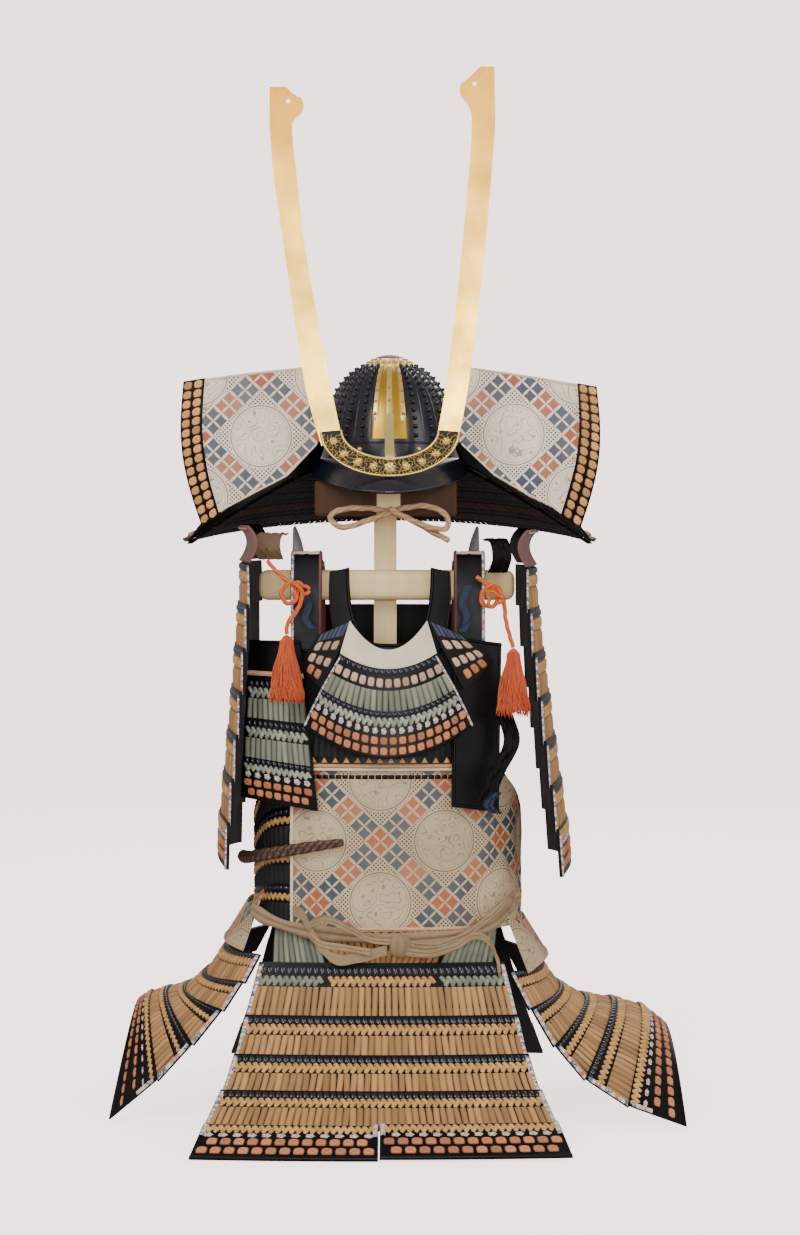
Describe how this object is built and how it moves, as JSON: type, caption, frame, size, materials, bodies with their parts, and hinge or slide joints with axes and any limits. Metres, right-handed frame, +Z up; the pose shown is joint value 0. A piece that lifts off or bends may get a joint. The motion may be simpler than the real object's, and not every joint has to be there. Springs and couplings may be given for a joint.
{
  "type": "laced samurai armour with horned helmet on a wooden stand",
  "caption": "Laced lamellar armour with a horned helmet, wide neck guard, throat apron, shoulder guards and spread skirt, resting on a plain wooden T-shaped stand.",
  "frame": {"origin": "on the floor under the stand's post, at the centre of the foot's underside", "axes": "+Z up, the armour faces -Y, the wearer's left is +X"},
  "size_m": [0.781, 0.771, 1.425],
  "materials": {
    "wood": "bare",
    "lacquer": "lacquered",
    "iron": "lacquered",
    "gilt": "gilt",
    "leather": "stencilled",
    "lacing": "laced",
    "silk": "silk",
    "hemp": "twisted",
    "cloth": "plain"
  },
  "bodies": {
    "root": {"stand_foot": "wood", "stand_post": "wood", "stand_crossbar": "wood", "helmet_bowl": "iron", "bowl_top_ring": "gilt", "crest_holder": "gilt", "crest_horn_right": "gilt", "crest_horn_left": "gilt", "visor": "lacquer", "neck_guard": "lacquer", "cuirass_back": "lacquer", "side_plate": "lacquer", "breast_board": "lacquer", "back_board": "lacquer", "shoulder_strap_right": "lacquer", "shoulder_strap_left": "lacquer", "collar_board": "lacquer", "kyubi_plate": "lacquer", "crown_plate_right": "lacquer", "crown_plate_left": "lacquer", "turnback_right": "leather", "turnback_left": "leather", "cuirass_front": "leather", "standing_leaf_right": "leather", "standing_leaf_left": "leather", "waist_leather_right": "leather", "waist_leather_left": "leather", "throat_apron_centre": "lacing", "throat_apron_right": "lacing", "throat_apron_left": "lacing", "sendan_panel": "lacing", "skirt_back": "lacing", "waist_lacing": "lacing", "shoulder_guard_right": "lacing", "shoulder_guard_left": "lacing", "skirt_front_5_right": "lacing", "skirt_front_5_left": "lacing", "skirt_front_1": "lacing", "skirt_front_2": "lacing", "skirt_front_3": "lacing", "skirt_front_4": "lacing", "skirt_right_1": "lacing", "skirt_left_1": "lacing", "skirt_right_2": "lacing", "skirt_left_2": "lacing", "skirt_right_3": "lacing", "skirt_left_3": "lacing", "skirt_right_4": "lacing", "skirt_left_4": "lacing", "skirt_right_5": "lacing", "skirt_left_5": "lacing", "helmet_cord": "hemp", "side_sash": "hemp", "tassel_cord_right": "silk", "tassel_cord_left": "silk", "tassel_right": "silk", "tassel_left": "silk", "belt_band": "cloth", "belt_knot": "cloth", "belt_loop": "cloth"}
  },
  "joints": []
}
